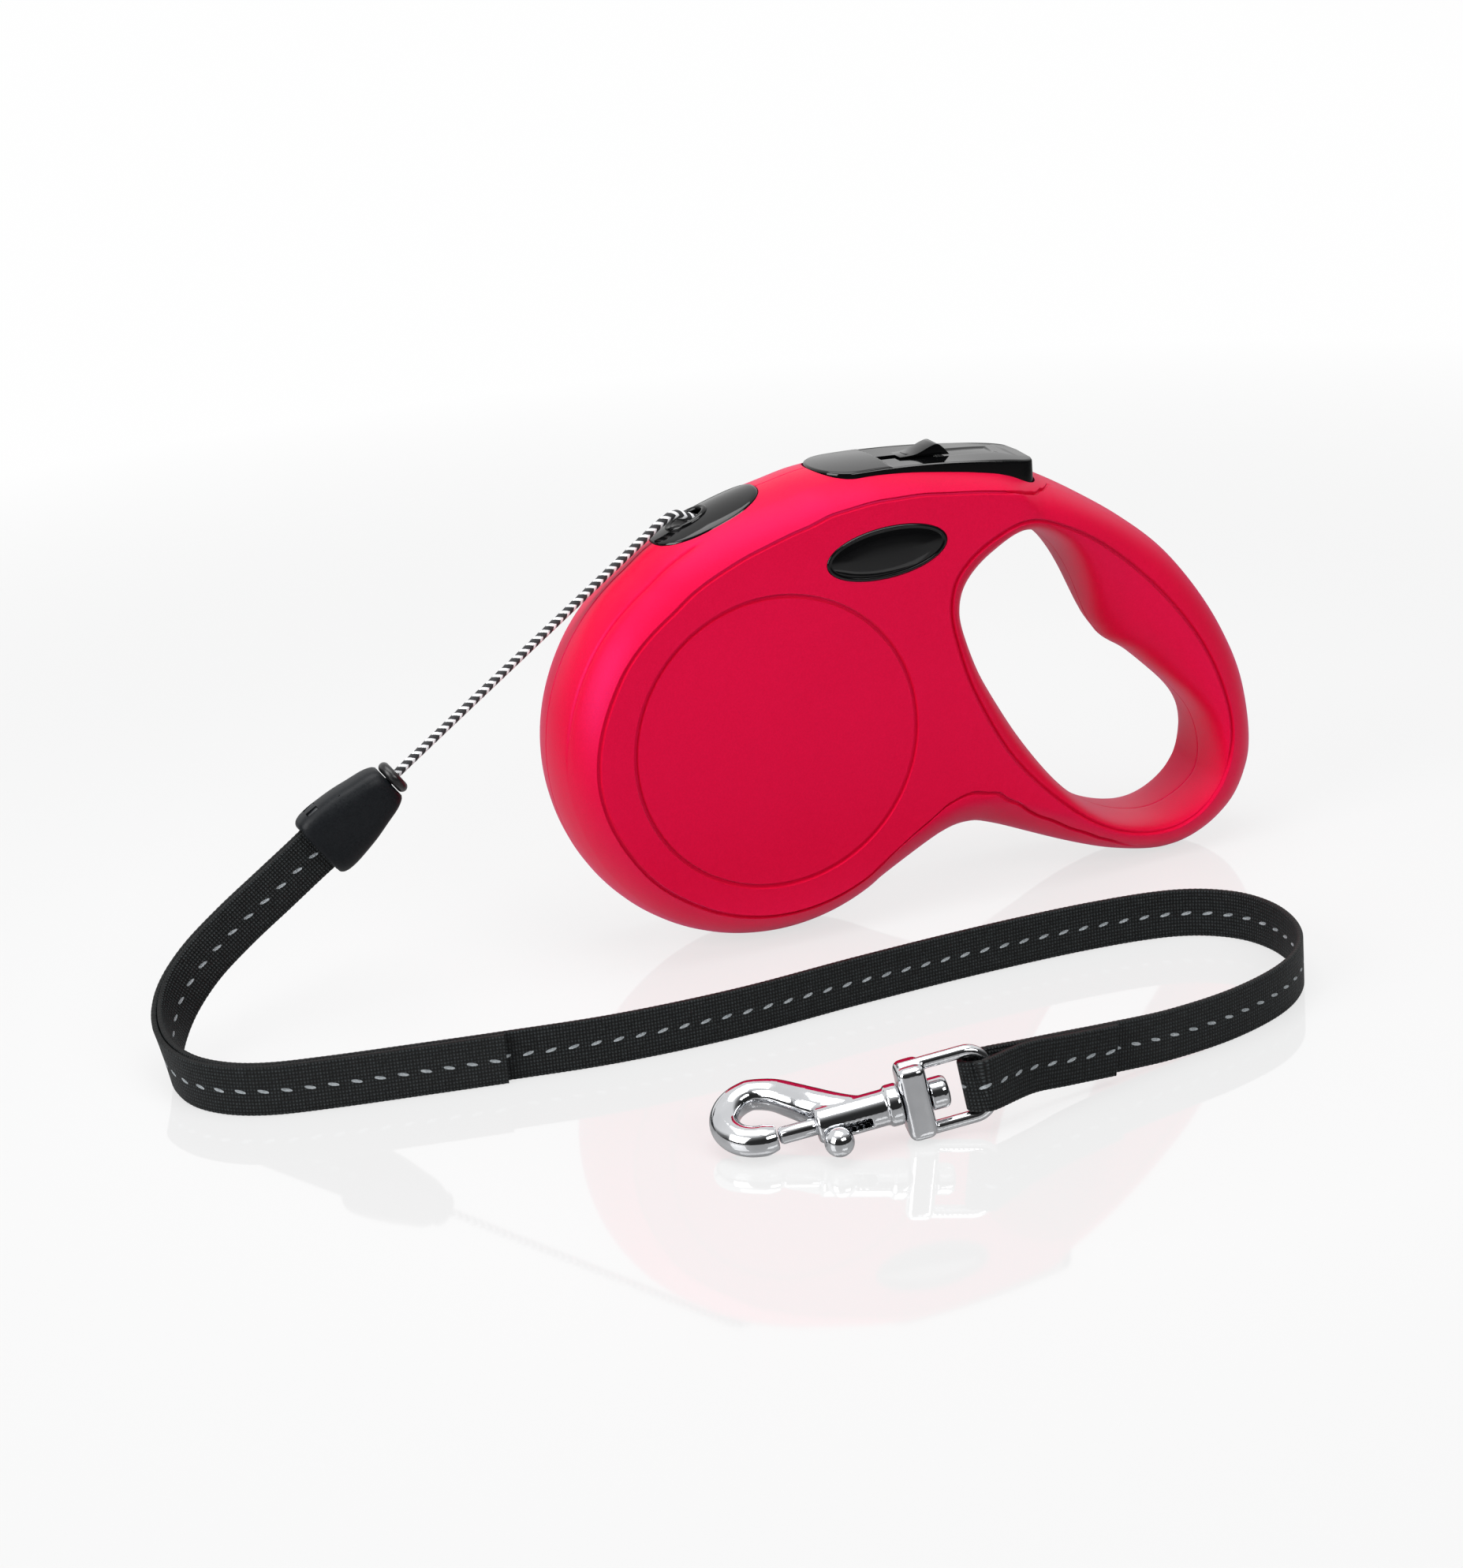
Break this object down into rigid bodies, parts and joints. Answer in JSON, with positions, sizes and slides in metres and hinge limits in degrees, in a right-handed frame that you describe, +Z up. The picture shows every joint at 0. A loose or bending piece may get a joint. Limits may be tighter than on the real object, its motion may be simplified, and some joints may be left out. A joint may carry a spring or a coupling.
{
  "type": "retractable leash",
  "caption": "Retractable dog leash: round spring-reel housing with a looped hand grip, thumb brake with lock, thin cord, strap and swivel snap hook.",
  "frame": {"origin": "under the middle of the housing, on the floor that it stands on", "axes": "+X from the cord outlet to the grip, +Y from the front face to the rear face, +Z up"},
  "size_m": [0.2798, 0.1531, 0.1102],
  "materials": {
    "red_plastic": "satin with a fine grain",
    "black_gloss": "gloss",
    "black_matt": "fine texture",
    "grey_plastic": "plain",
    "black_rubber": "smooth",
    "cord_braid": "black and white braid",
    "strap_weave": "woven with light flecks",
    "chrome": "polished",
    "steel": "plain"
  },
  "bodies": {
    "housing": {"front_shell": "red_plastic", "rear_shell": "red_plastic", "shell_screws": "steel", "badge": "black_gloss", "cord_guide": "black_gloss", "spool_axle": "steel", "button_pin": "steel", "mainspring": "steel", "button_spring": "steel", "free_cord": "cord_braid", "bumper_ring": "black_rubber", "connector_shell": "black_matt", "connector_insert": "grey_plastic", "strap_pin": "steel", "webbing": "strap_weave"},
    "spool": {"spool": "grey_plastic", "spring_cover": "grey_plastic", "wound_cord": "cord_braid"},
    "button": {"brake_button": "black_gloss", "brake_pawl": "steel"},
    "slider": {"lock_slider": "black_gloss"},
    "eye": {"swivel_eye": "chrome"},
    "hook": {"hook_body": "chrome", "bolt_spring": "steel"},
    "bolt": {"hook_bolt": "chrome", "bolt_knob": "chrome"}
  },
  "joints": [
    {"name": "spool_spin", "type": "hinge", "parent": "housing", "child": "spool", "pos_m": [-0.039, 0, 0.0505], "axis": [0, 1, 0], "continuous": true, "deforming": ["mainspring"]},
    {"name": "button_press", "type": "hinge", "parent": "housing", "child": "button", "pos_m": [-0.017, 0, 0.1], "axis": [0, 1, 0], "range_deg": [0, 4.5], "stiffness_Nm_per_rad": 1.2, "springref_deg": -3.44, "deforming": ["button_spring"]},
    {"name": "lock_slide", "type": "slide", "parent": "button", "child": "slider", "axis": [-0.9954, 0, 0.0958], "range_m": [0, 0.004]},
    {"name": "eye_swing", "type": "hinge", "parent": "housing", "child": "eye", "pos_m": [-0.04151, -0.13191, 0.01131], "axis": [-0.1446, 0.0307, 0.989], "range_deg": [-20, 20]},
    {"name": "hook_swivel", "type": "hinge", "parent": "eye", "child": "hook", "pos_m": [-0.0566, -0.1287, 0.009], "axis": [-0.9674, 0.2056, -0.1478], "continuous": true},
    {"name": "bolt_slide", "type": "slide", "parent": "hook", "child": "bolt", "axis": [0.9674, -0.2056, 0.1478], "range_m": [0, 0.0065], "stiffness_N_per_m": 150, "springref_m": -0.012, "deforming": ["bolt_spring"]}
  ]
}
